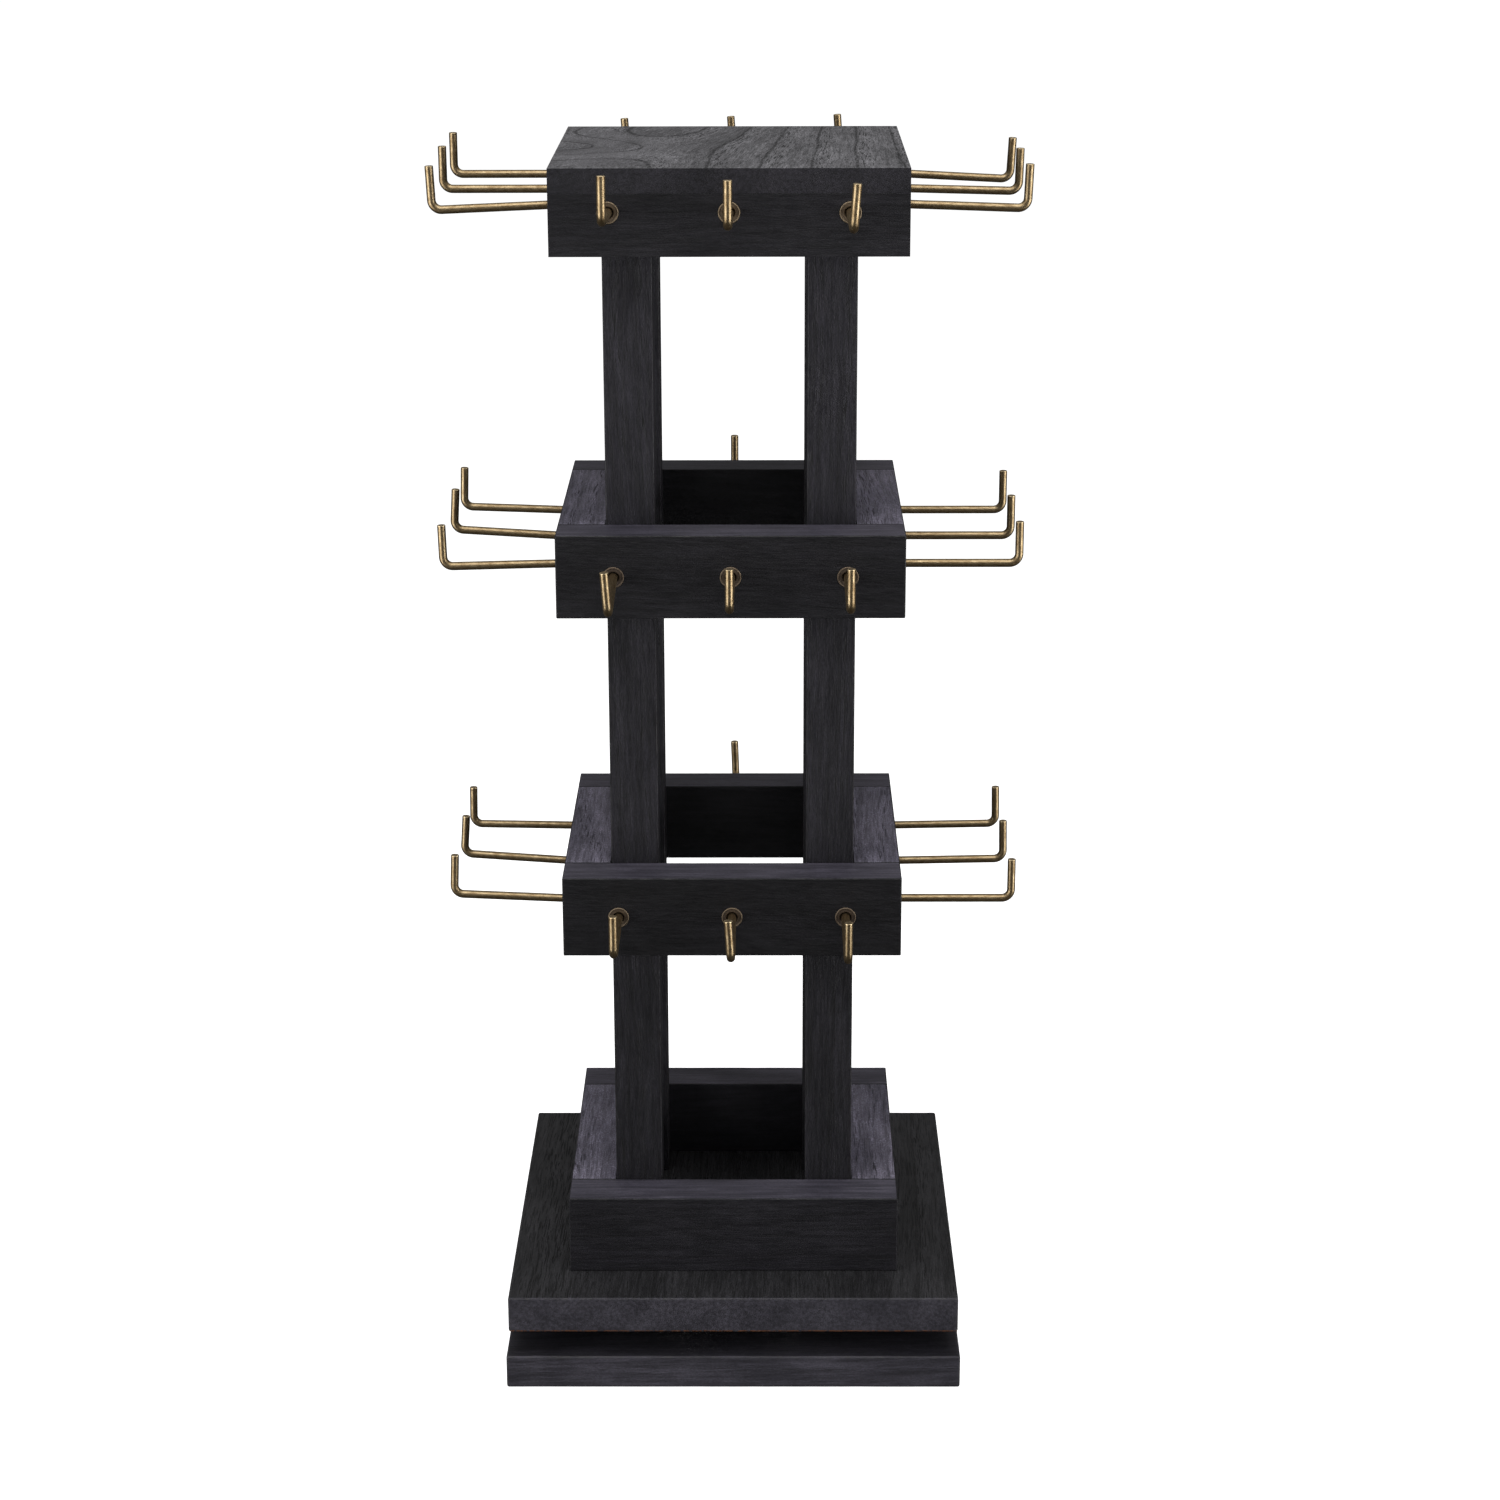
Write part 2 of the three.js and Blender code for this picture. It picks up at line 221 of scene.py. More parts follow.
def wood_pattern(t, place, rings, porous, ring_width):
    """The wood's patterns, about 0 to 1: fibres, growth rings, their dark lines, pores and clouding."""
    values = {"Vector": t.scaled(place, (0.010, 0.03, 0.03)), "Scale": 1.0, "Detail": 2.0}
    wander = t.add("ShaderNodeTexNoise", values).outputs["Color"]
    sway = t.scaled(t.vector("SUBTRACT", wander, (0.5, 0.5, 0.5)), (0.0, 6.0, 6.0))
    bent = t.vector("ADD", place, sway)
    fibre = t.noise(t.scaled(bent, (0.18, 3.0, 3.0)), 1.0, 2.0, 0.6)
    pore_noise = t.noise(t.scaled(bent, (0.10, 2.5, 2.5)), 1.0, 1.0)
    ring = growth_rings(t, t.scaled(bent, (0.0, 1.0, 1.0)), fibre, pore_noise, ring_width)
    line = t.times(t.ramp(ring, 0.85, 0.93), t.ramp(ring, 0.94, 0.97, 1.0, 0.0))
    broken = t.ramp(t.noise(t.scaled(bent, (0.5, 1.6, 1.6)), 1.0, 2.0), 0.36, 0.56, 0.25, 1.0)
    early = t.ramp(ring, 0.05, 0.4, 1.0, 0.45)
    return SimpleNamespace(
        fibre=fibre,
        ring=ring,
        late=t.times(line, rings, broken),
        pores=t.times(t.ramp(pore_noise, 0.52, 0.64), early, porous),
        streak=t.noise(t.scaled(bent, (0.035, 0.8, 0.8)), 1.0, 3.0),
        cloud=t.noise(t.scaled(place, (0.03, 0.05, 0.05)), 1.0, 3.0, 0.6),
        grit=t.noise(t.scaled(place, (1.1, 2.4, 2.4)), 1.0, 2.0, 0.7),
        # speckle places the painted highlight specks on the tops.
        speckle=t.noise(place, 1.7, 2.0, 0.6),
    )


def wood_light(t, wood, porous, tone):
    """How many times lighter than the plain stain each place is, with painted highlight specks on the
    tops.
    """
    fibres = t.ramp(wood.fibre, 0.3, 0.72, 0.74, 1.3, smooth=False)
    season = t.ramp(wood.ring, 0.1, 0.85, 1.08, 0.88)
    figured = t.times(fibres, season, t.ramp(wood.grit, 0.3, 0.7, 0.68, 1.4))
    # Painted highlights: bright specks only on the tops, where the tone is high.
    painted_sheen = t.times(t.ramp(wood.speckle, 0.56, 0.74, 0.0, 1.3), t.ramp(tone, 5.0, 9.0))
    return t.times(
        t.numbers(t.ramp(porous, 0.0, 1.0, 0.3, 1.0, smooth=False), 1.0, figured),
        t.ramp(wood.streak, 0.3, 0.7, 0.72, 1.32),
        t.plus(painted_sheen, 1.0),
        t.ramp(wood.cloud, 0.3, 0.7, 0.78, 1.26),
        t.ramp(wood.late, 0.0, 1.0, 1.0, 0.3),
        t.ramp(wood.pores, 0.0, 1.0, 1.0, 0.22),
        tone,
    )


def black_stained_wood():
    """Open-grained wood under a black stain. It is a solid pattern in millimetres: x runs along the grain,
    and the growth rings are cylinders about x. One vertex attribute holds the rubbed arris, raw edge and
    tone, where the tone holds each board's own lightness together with painted light and shade: tops lit
    apart from the sides, and lower tiers and post feet darker. Tops also get painted highlight specks.
    figure holds how strong the rings and the pores are and how wide a ring is, in centimetres."""
    material, t, shader = new_material("black_stained_wood")
    place = t.attribute("grain")
    arris, raw, tone = t.parts(t.attribute("wear_and_painted_light"))
    rings, porous, ring_width = t.parts(t.attribute("figure"))
    wood = wood_pattern(t, place, rings, porous, ring_width)

    violet = t.colours(wood.cloud, *(grey(STAIN, tint) for tint in VIOLET_TINTS))
    stain = t.colours(t.ramp(rings, 0.45, 0.65), violet, grey(STAIN, NEUTRAL_TINT))
    stained = t.vector("SCALE", stain, (0, 0, 0))
    t.give(stained.node.inputs["Scale"], wood_light(t, wood, porous, tone))
    rub = t.times(arris, t.ramp(t.noise(place, 0.22, 3.0, 0.65), 0.42, 0.66))
    rubbed = t.colours(t.times(rub, 0.6), stained, grey(STAIN * RUBBED_LIGHTER, RUBBED_TINT))
    bare = t.times(raw, t.ramp(t.noise(place, 0.5, 3.0, 0.7), 0.40, 0.55))
    t.give(shader.inputs["Base Color"], t.colours(bare, rubbed, BARE_WOOD))

    open_grain = t.times(t.maths("MAXIMUM", wood.pores, wood.late), 0.25)
    rough = t.plus(t.ramp(wood.fibre, 0.3, 0.7, 0.44, 0.6), open_grain)
    t.give(shader.inputs["Roughness"], t.maths("SUBTRACT", rough, t.times(rub, 0.08), clamp=True))
    shader.inputs["Specular IOR Level"].default_value = 0.3

    sunk = t.plus(wood.pores, t.times(wood.late, 0.5))
    raised = t.plus(t.times(wood.fibre, 0.55), t.times(wood.grit, 0.25))
    t.bump(shader, t.maths("SUBTRACT", raised, sunk), 0.6, 0.12 * MM)
    return material


BRONZE_BROWN = (0.19, 0.127, 0.062, 1.0)
BRONZE_BRIGHT = (0.39, 0.302, 0.178, 1.0)
BRONZE_DRAWN = (0.22, 0.145, 0.07, 1.0)
BRONZE_RUBBED = (0.72, 0.58, 0.36, 1.0)
# Painted shade for an insert's dimple and hole, on the bright bronze.
BRONZE_RECESS_SHADE = (0.035, 0.024, 0.014, 1.0)
DULL_BROWN = (0.060, 0.046, 0.037, 1.0)
DULL_BRIGHT = (0.110, 0.086, 0.069, 1.0)
DULL_RUBBED = (0.30, 0.23, 0.17, 1.0)
# Painted shade for an insert's dimple and hole, on the dull bronze.
DULL_RECESS_SHADE = (0.030, 0.024, 0.020, 1.0)


def aged_bronze():
    """Antique bronze plating: brown in patches, brighter where it is rubbed. x runs along the rod, in
    millimetres, and the other vertex attribute holds the rubbed edge, the painted shade of an insert's
    dimple and hole, and the tone."""
    material, t, shader = new_material("aged_bronze")
    place = t.attribute("grain")
    edge, recess_shade, tone = t.parts(t.attribute("wear_and_painted_light"))
    patch = t.noise(t.scaled(place, (0.35, 0.8, 0.8)), 1.0, 4.0, 0.62)
    speck = t.noise(t.scaled(place, (1.3, 2.6, 2.6)), 1.0, 3.0, 0.65)
    drawn = t.noise(t.scaled(place, (0.12, 5.0, 5.0)), 1.0, 2.0)

    bright = t.ramp(t.plus(t.times(patch, 0.6), t.times(speck, 0.4)), 0.32, 0.66)
    colour = t.colours(bright, BRONZE_BROWN, BRONZE_BRIGHT)
    colour = t.colours(t.ramp(drawn, 0.35, 0.65, 0.0, 0.25), colour, BRONZE_DRAWN)
    colour = t.colours(t.times(edge, t.ramp(speck, 0.3, 0.6, 0.5, 0.95)), colour, BRONZE_RUBBED)
    # Painted shade darkens the insert's dimple and the hole for the rod.
    colour = t.colours(recess_shade, colour, BRONZE_RECESS_SHADE)
    dull = t.colours(speck, DULL_BROWN, DULL_BRIGHT)
    dull = t.colours(t.times(edge, 0.4), dull, DULL_RUBBED)
    dull = t.colours(recess_shade, dull, DULL_RECESS_SHADE)
    t.give(shader.inputs["Base Color"], t.colours(tone, dull, colour))
    shader.inputs["Metallic"].default_value = 1.0

    rough = t.numbers(bright, 0.46, 0.35)
    rough = t.plus(rough, t.ramp(tone, 0.0, 1.0, 0.26, 0.0), t.ramp(speck, 0.3, 0.7, -0.04, 0.08))
    t.give(shader.inputs["Roughness"], t.maths("ADD", rough, t.times(recess_shade, 0.3), clamp=True))
    t.bump(shader, t.plus(t.times(speck, 0.6), t.times(drawn, 0.4)), 0.35, 0.06 * MM)
    return material


ZINC_COLD = grey(0.50, (0.98, 1.0, 1.02))
ZINC_WARM = grey(0.60, (1.0, 1.0, 0.98))
ZINC_SCRATCH = grey(0.35)


def zinc_plated_steel():
    """Bright zinc plating, with faint clouding and fine scratches."""
    material, t, shader = new_material("zinc_plated_steel")
    place = t.scaled(t.add("ShaderNodeTexCoord").outputs["Object"], (1000.0, 1000.0, 1000.0))
    cloud = t.noise(place, 0.16, 4.0, 0.6)
    scratch = t.noise(t.scaled(place, (0.25, 6.0, 1.0)), 1.0, 2.0)
    zinc = t.colours(t.ramp(cloud, 0.3, 0.7), ZINC_COLD, ZINC_WARM)
    scratched = t.colours(t.ramp(scratch, 0.55, 0.75, 0.0, 0.2), zinc, ZINC_SCRATCH)
    t.give(shader.inputs["Base Color"], scratched)
    shader.inputs["Metallic"].default_value = 1.0
    t.give(shader.inputs["Roughness"], t.ramp(cloud, 0.3, 0.7, 0.24, 0.42))
    t.bump(shader, scratch, 0.2, 0.03 * MM)
    return material


MATERIALS = {make.__name__: make() for make in (black_stained_wood, aged_bronze, zinc_plated_steel)}


# ---------------------------------------------------------------- pieces

def add_piece(name, mesh, slot, body, *replaced):
    """Puts a mesh in the scene as a piece that rides on a body, in a slot's material. It takes the
    place of the CAD nodes that are named last."""
    piece = bpy.data.objects.new(name, mesh)
    bpy.context.scene.collection.objects.link(piece)
    mesh.materials.clear()
    mesh.materials.append(MATERIALS[slot])
    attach(piece, body)
    if replaced:
        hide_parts(*replaced)
    return piece


def smooth(mesh, sharp_degrees=40):
    mesh.shade_smooth()
    mesh.set_sharp_from_angle(angle=math.radians(sharp_degrees))


def mesh_from(bm, name):
    """A mesh of what the bmesh holds, which is freed."""
    mesh = bpy.data.meshes.new(name)
    bm.to_mesh(mesh)
    bm.free()
    return mesh


def evaluated_mesh(thing):
    """A new mesh of the object as its modifiers, or its curve's bevel and fill, make it."""
    bpy.context.view_layer.update()
    graph = bpy.context.evaluated_depsgraph_get()
    return bpy.data.meshes.new_from_object(thing.evaluated_get(graph))


def circle_angles(count):
    """The angles of that many even places round a circle."""
    return [2 * math.pi * i / count for i in range(count)]


def write_vectors(mesh, name, vectors):
    attribute = mesh.attributes.new(name, "FLOAT_VECTOR", "POINT")
    attribute.data.foreach_set("vector", [number for v in vectors for number in v])


# ---------------------------------------------------------------- boards and posts

def stations(low, high, ease):
    """Where a board has its rows along one side: two rounded ends, a row close inside each, and even
    steps between."""
    end = [ease * (1 - math.tan(math.radians(a))) for a in reversed(EASE_ANGLES)]
    end += [ease, ease + ARRIS_BAND]
    span = high - low - 2 * end[-1]
    steps = max(1, round(span / BOARD_PITCH))
    middle = [low + end[-1] + span * i / steps for i in range(1, steps)]
    return [low + e for e in end] + middle + [high - e for e in reversed(end)]


def board_vertex(flat, low, high, ease):
    """The place on the rounded board for a point on its square-edged box, with dents worn into its
    arrises.
    """
    core = Vector([min(max(flat[k], low[k] + ease), high[k] - ease) for k in range(3)])
    out = (flat - core).normalized()
    rounded = sum(abs(out[k]) > 0.01 for k in range(3)) > 1
    worn = noise.noise(core * DENTS_PER_METRE) + 0.6 * noise.noise(core * NICKS_PER_METRE)
    dent = max(0.0, worn) if rounded else 0.0
    wave = 0.5 + 0.5 * noise.noise(core * WAVES_PER_METRE)
    return core + out * (ease - ARRIS_WEAR * dent - FACE_WAVE * wave)


def board_mesh(name, low, high, ease):
    """A board between two corners as one closed skin, with every arris and corner rounded."""
    rows = [stations(low[k], high[k], ease) for k in range(3)]
    last = [len(r) - 1 for r in rows]
    bm = bmesh.new()
    made = {}

    def vertex(index):
        if index not in made:
            flat = Vector([rows[k][index[k]] for k in range(3)])
            made[index] = bm.verts.new(board_vertex(flat, low, high, ease))
        return made[index]

    for axis in range(3):
        u, v = (axis + 1) % 3, (axis + 2) % 3
        for end in (0, last[axis]):
            for i in range(last[u]):
                for j in range(last[v]):
                    ring = [(i, j), (i + 1, j), (i + 1, j + 1), (i, j + 1)]
                    if end == 0:
                        ring.reverse()
                    corners = []
                    for a, b in ring:
                        index = [0, 0, 0]
                        index[axis], index[u], index[v] = end, a, b
                        corners.append(vertex(tuple(index)))
                    bm.faces.new(corners)
    return mesh_from(bm, name)


class Figure:
    """How one board is coloured: how many times lighter than the plain stain its sides (tone) and its
    top are, the share of that which it loses down to its foot (fade), how strong its rings and pores
    are, how wide a ring is in millimetres, and how much its rings close up along the grain (taper). The
    top's lightness is painted light and shade, set apart from the sides' for how the light falls on it,
    and fade is painted shade. heart is where the tree's heart is across the grain, in millimetres, and
    lean is its two angles against the grain. swirl is an old knot's x and y, its reach and how far it
    pushes the rings out, in millimetres. raw_edge is for a board whose lower arrises have lost some of
    their stain."""

    def __init__(self, tone=1.0, top=1.0, fade=0.0, rings=0.25, pores=0.35, ring_width=6.0,
                 taper=0.0, heart=None, lean=None, swirl=None, raw_edge=False):
        self.tone, self.top, self.fade = tone, top, fade
        self.rings, self.pores, self.ring_width = rings, pores, ring_width
        self.taper, self.heart, self.lean = taper, heart, lean
        self.swirl, self.raw_edge = swirl, raw_edge

    def toned(self, factor):
        """The same figure in a board whose sides are that many times lighter."""
        other = copy.copy(self)
        other.tone *= factor
        return other


def wood_frame(low, high, along, seed, figure):
    """A matrix from the board's place to the wood's: x along the grain from the board's middle, and the
    tree's heart at y = z = 0. Unless the figure gives the heart, it is drawn a few centimetres off the
    board and leans a little against it."""
    draw = random.Random(seed)
    x = Vector([float(k == along) for k in range(3)])
    y = Vector([float(k == (along + 1) % 3) for k in range(3)])
    turn = draw.uniform(0, 2 * math.pi)
    distance = draw.uniform(*HEART_DISTANCES)
    tilt = [math.radians(draw.uniform(-HEART_LEAN, HEART_LEAN)) for _ in range(2)]
    offset = Vector((math.cos(turn), math.sin(turn))) * distance
    if figure.heart:
        offset = Vector(figure.heart) * MM
        tilt = [math.radians(a) for a in figure.lean]
    axes = Matrix((x, y, x.cross(y)))
    leaning = Matrix.Rotation(tilt[0], 3, "Y") @ Matrix.Rotation(tilt[1], 3, "Z")
    centred = Matrix.Translation(-(low + high) / 2)
    start = Vector((0, offset[0], offset[1]))
    return Matrix.Translation(start) @ (leaning @ axes).to_4x4() @ centred


def grain_place(p, to_wood, length, seed, figure):
    """The wood's own coordinates of a point on a board, in millimetres."""
    w = to_wood @ p
    spread = 1 / (1 + figure.taper * w.x / length) / MM
    if figure.swirl:
        x, y, reach, push = figure.swirl
        near = math.exp(-((p.x / MM - x) ** 2 + (p.y / MM - y) ** 2) / (2 * reach ** 2))
        spread += push * near / math.hypot(w.y, w.z)
    return Vector((w.x / MM + GRAIN_SHIFT * seed, w.y * spread, w.z * spread))


def mark_wood(mesh, low, high, ease, along, seed, figure, joints):
    """Writes the wood's own coordinates, its rubbed and raw arrises, its tone with painted light and
    shade, and its figure on the finished mesh. Arrises in a glue joint were sanded flush, so they aren't
    rubbed.
    End grain shows faint rings and pores."""
    to_wood = wood_frame(low, high, along, seed, figure)
    rounded = ease * 0.999  # the flats begin at ease itself, give or take the last digit
    grain, wear_and_painted_light, marks = [], [], []
    for vertex in mesh.vertices:
        p = vertex.co
        inset = [min(p[k] - low[k], high[k] - p[k]) for k in range(3)]
        glued = any(abs(p[axis] - place) < ease + JOINT_GAP for axis, place in joints)
        arris = float(sum(i < rounded for i in inset) > 1)
        raw = arris if figure.raw_edge and p.z < low.z + ease else 0.0
        # A top face takes the top's painted light or shade, and a post's sides darken with painted shade
        # towards its foot.
        on_top = p.z > high.z - TOP_SKIN and min(inset[:2]) > ease * 0.9
        drop = (high.z - p.z) / (high.z - low.z)
        tone = figure.top if on_top else figure.tone * (1 - figure.fade * drop)
        rings, pores = (0.2, 0.36) if inset[along] < rounded else (1.0, 1.0)
        grain.append(grain_place(p, to_wood, high[along] - low[along], seed, figure))
        wear_and_painted_light.append((0.0 if glued else arris, raw, tone))
        marks.append((figure.rings * rings, figure.pores * pores, figure.ring_width / 10))
    write_vectors(mesh, "grain", grain)
    write_vectors(mesh, "wear_and_painted_light", wear_and_painted_light)
    write_vectors(mesh, "figure", marks)


def weigh_normals(piece):
    """The flats of a board shade flat up to its rounded arrises."""
    modifier = piece.modifiers.new("flat_faces", "WEIGHTED_NORMAL")
    modifier.mode = "FACE_AREA"
    modifier.weight = 90
    modifier.keep_sharp = True


def cut(mesh, name, cutter):
    """The mesh with the cutter's closed mesh taken away."""
    body = bpy.data.objects.new(name, mesh)
    tool = bpy.data.objects.new(name + "_tool", cutter)
    for o in (body, tool):
        bpy.context.scene.collection.objects.link(o)
    modifier = body.modifiers.new("cut", "BOOLEAN")
    modifier.operation = "DIFFERENCE"
    modifier.solver = "EXACT"
    modifier.object = tool
    done = evaluated_mesh(body)
    for o in (body, tool):
        bpy.data.objects.remove(o)
    done.name = name
    return done


def add_board(name, low, high, along, seed, figure, body="turntable", replaced=None, ease=EASE,
              bores=None, joints=()):
    """One wooden board or post as a piece. along is the axis its grain follows: 0, 1 or 2. bores is a
    closed mesh to cut from it, and joints are the planes of its glue joints, as (axis, place)."""
    mesh = board_mesh(name, low, high, ease)
    if bores is not None:
        mesh = cut(mesh, name, bores)
    mark_wood(mesh, low, high, ease, along, seed, figure, joints)
    smooth(mesh)
    weigh_normals(add_piece(name, mesh, "black_stained_wood", body, replaced or name))


# The top values are painted light and shade: painted highlights lighten the tops of the frame boards and
# the cap, and painted shade darkens the tops of the two bottom boards, which lie under the boards above
# them. POST's fade is painted shade towards its foot.
FOOT = Figure(tone=2.45, top=1.3, rings=0.15, pores=0.5)
TURNTABLE = Figure(tone=2.05, top=1.65, rings=0.6, pores=1.3, ring_width=11, heart=(-28, 62),
                   lean=(1.5, 0), raw_edge=True)
CAP = Figure(tone=1.0, top=10.2, rings=1.2, pores=1.2, ring_width=13.5, taper=-0.3,
             heart=(14, 33.7), lean=(13.2, 0), swirl=(-49, -2, 20, 32))
FRONT_BOARD = Figure(tone=0.62, top=5.0, rings=0.2, pores=0.3)
SIDE_BOARD = Figure(tone=0.62, top=9.8, rings=0.3, pores=0.9)
POST = Figure(tone=1.35, rings=0.4, pores=0.9, fade=0.5)

# Painted shade: how light the sides of each frame's boards are, as a share of their figure's tone; the
# lower a tier, the darker its boards.
TIER_SHADES = {"base": 1.12, "lower": 0.58, "middle": 0.78, "top": 0.97}


def glue_planes():
    """Where the boards of a frame meet one another and the cap, as (axis, place)."""
    low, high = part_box("base_frame")
    return (1, low.y + board_width()), (1, high.y - board_width()), (2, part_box("cap_board")[0].z)


def add_whole_boards():
    """The boards that stand exactly where their CAD nodes do."""
    low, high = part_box("base_board")
    add_board("base_board", low, high, 0, 1, FOOT, body="base", ease=FOOT_EASE)
    low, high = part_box("turntable_board")
    add_board("turntable_board", low, high, 1, 2, TURNTABLE, ease=FOOT_EASE)
    low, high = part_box("cap_board")
    add_board("cap_board", low, high, 1, 3, CAP, ease=CRISP_EASE, joints=((2, low.z),))


def side_boards(low, high, width):
    """The four boards of a square frame between two corners, whose front and rear boards run its full
    width."""
    start = low.y + width + JOINT_GAP
    end = high.y - width - JOINT_GAP
    return {
        "front": (low, Vector((high.x, low.y + width, high.z))),
        "rear": (Vector((low.x, high.y - width, low.z)), high),
        "left": (Vector((low.x, start, low.z)), Vector((low.x + width, end, high.z))),
        "right": (Vector((high.x - width, start, low.z)), Vector((high.x, end, high.z))),
    }


def board_width():
    low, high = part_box("frame_lower_front")
    return high.y - low.y


def add_frame(name, low, high, seed, replaced, bores=None, ease=EASE, tone=1.0):
    """A square frame of four boards. replaced takes a side to the CAD node that its board stands for."""
    for i, (side, (start, end)) in enumerate(side_boards(low, high, board_width()).items()):
        figure, along = (FRONT_BOARD, 0) if side in ("front", "rear") else (SIDE_BOARD, 1)
        add_board(f"{name}_{side}", start, end, along, seed + i, figure.toned(tone),
                  replaced=replaced(side), bores=bores.copy() if bores else None, ease=ease,
                  joints=glue_planes())


def add_posts():
    """The posts stand in the frames' inner corners, closed up to the boards that they are glued to."""
    low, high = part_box("base_frame")
    reach = board_width() + JOINT_GAP
    for i, corner in enumerate(CORNERS):
        start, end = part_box("post_" + corner)
        if "left" in corner:
            start.x = low.x + reach
        else:
            end.x = high.x - reach
        if "front" in corner:
            start.y = low.y + reach
        else:
            end.y = high.y - reach
        add_board("post_" + corner, start, end, 2, 20 + i, POST)


# ---------------------------------------------------------------- hooks and inserts

def lathe_mesh(name, profile, sides):
    """A closed skin turned about +Z from (radius, height) points that start and end on the axis."""
    bm = bmesh.new()
    rings = []
    for radius, height in profile:
        if radius == 0:
            rings.append([bm.verts.new((0, 0, height))] * sides)
            continue
        points = [(radius * math.cos(a), radius * math.sin(a), height) for a in circle_angles(sides)]
        rings.append([bm.verts.new(p) for p in points])
    for below, above in zip(rings, rings[1:]):
        for i in range(sides):
            j = (i + 1) % sides
            corners = dict.fromkeys((below[i], below[j], above[j], above[i]))
            if len(corners) > 2:
                bm.faces.new(tuple(corners))
    bmesh.ops.recalc_face_normals(bm, faces=bm.faces)
    return mesh_from(bm, name)


def middle_of(points):
    """The mean of the points, counting those in one place once."""
    distinct = {tuple(round(c, 6) for c in p): p for p in points}.values()
    return sum(distinct, Vector()) / len(distinct)


def hook_pose(node, side):
    """Where a hook sits, read from its CAD mesh: the insert's centre on the board's face, the turn that
    takes a true hook, out along -Y with its tip up, to this one, and the turn of its side alone."""
    turn = Matrix.Rotation(math.radians(SIDES[side]), 3, "Z")
    local = [turn.inverted() @ v.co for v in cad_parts[node].data.vertices]
    top = max(p.z for p in local)
    deep = max(p.y for p in local)
    tip = middle_of([p for p in local if p.z > top - TIP_SLICE])
    barrel = middle_of([p for p in local if p.y > deep - END_SLICE])
    face = Vector((barrel.x, deep - INSERT_DEPTH, barrel.z))
    reach = tip - face
    roll = math.asin(reach.x / TIP_HEIGHT)
    rise = math.atan2(reach.z, -reach.y) - math.atan2(TIP_HEIGHT * math.cos(roll), ROD_REACH)
    set_by_hand = Matrix.Rotation(-rise, 3, "X") @ Matrix.Rotation(roll, 3, "Y")
    return turn @ face, turn @ set_by_hand, turn


def rod_stations():
    """(run along the rod, centre, direction) down the axis of a true hook, from inside the board to
    its tip."""
    reach = ROD_REACH - REACH_SPARE
    straight = ROD_ROOT_DEPTH + reach - BEND_RADIUS
    found = []
    for i in range(STRAIGHT_STEPS + 1):
        run = straight * i / STRAIGHT_STEPS
        found.append((run, Vector((0, ROD_ROOT_DEPTH - run, 0)), Vector((0, -1, 0))))
    for i in range(1, BEND_STEPS + 1):
        a = math.pi / 2 * i / BEND_STEPS
        centre = Vector((0, 1 - math.sin(a), 1 - math.cos(a))) * BEND_RADIUS - Vector((0, reach, 0))
        found.append((straight + BEND_RADIUS * a, centre, Vector((0, -math.cos(a), math.sin(a)))))
    bend_end = straight + BEND_RADIUS * math.pi / 2
    for share in RISE_SHARES:
        rise = (TIP_HEIGHT - BEND_RADIUS) * share
        found.append((bend_end + rise, Vector((0, -reach, BEND_RADIUS + rise)), Vector((0, 0, 1))))
    return found


# The rows of the rod's sawn tip: how far below its end and how far in from its side, in millimetres, and
# how rubbed.
TIP_ROWS = ((0.286, 0, 0), (0.22, 0, 0.8), (0.066, 0.066, 1), (0, 0.22, 1), (0.02, 0.484, 0.35))


def rod_mesh(name, seed):
    """A bent rod in the true hook's own place, its wood's end square and its tip sawn flat with a
    rubbed edge."""
    *stations_down, (last_run, end, up) = rod_stations()
    rows = [(run, centre, direction, ROD_RADIUS, 0.0) for run, centre, direction in stations_down]
    for below_end, inset, rubbed in TIP_ROWS:
        rows.append((last_run, end - up * below_end * MM, up, ROD_RADIUS - inset * MM, rubbed))

    bm = bmesh.new()
    rings, grain, wear_and_painted_light = [], [], []
    shift = Vector((BRONZE_SHIFT * seed, 0, 0))
    sideways = Vector((1, 0, 0))
    for run, centre, direction, radius, rubbed in rows:
        outward = sideways.cross(direction)
        verts = []
        for a in circle_angles(ROD_SIDES):
            out = sideways * math.cos(a) + outward * math.sin(a)
            place = (centre + out * radius) * ROD_DENTS_PER_METRE + shift
            verts.append(bm.verts.new(centre + out * (radius + ROD_DENT * noise.noise(place))))
            grain.append(shift + Vector((run, math.cos(a) * radius, math.sin(a) * radius)) / MM)
            wear_and_painted_light.append((rubbed, 0.0, 1.0))
        rings.append(verts)
    for below, above in zip(rings, rings[1:]):
        for i in range(ROD_SIDES):
            j = (i + 1) % ROD_SIDES
            bm.faces.new((below[i], below[j], above[j], above[i]))
    bm.faces.new(rings[0])
    bm.faces.new(rings[-1])
    bmesh.ops.recalc_face_normals(bm, faces=bm.faces)
    mesh = mesh_from(bm, name)
    write_vectors(mesh, "grain", grain)
    write_vectors(mesh, "wear_and_painted_light", wear_and_painted_light)
    smooth(mesh, 35)
    return mesh


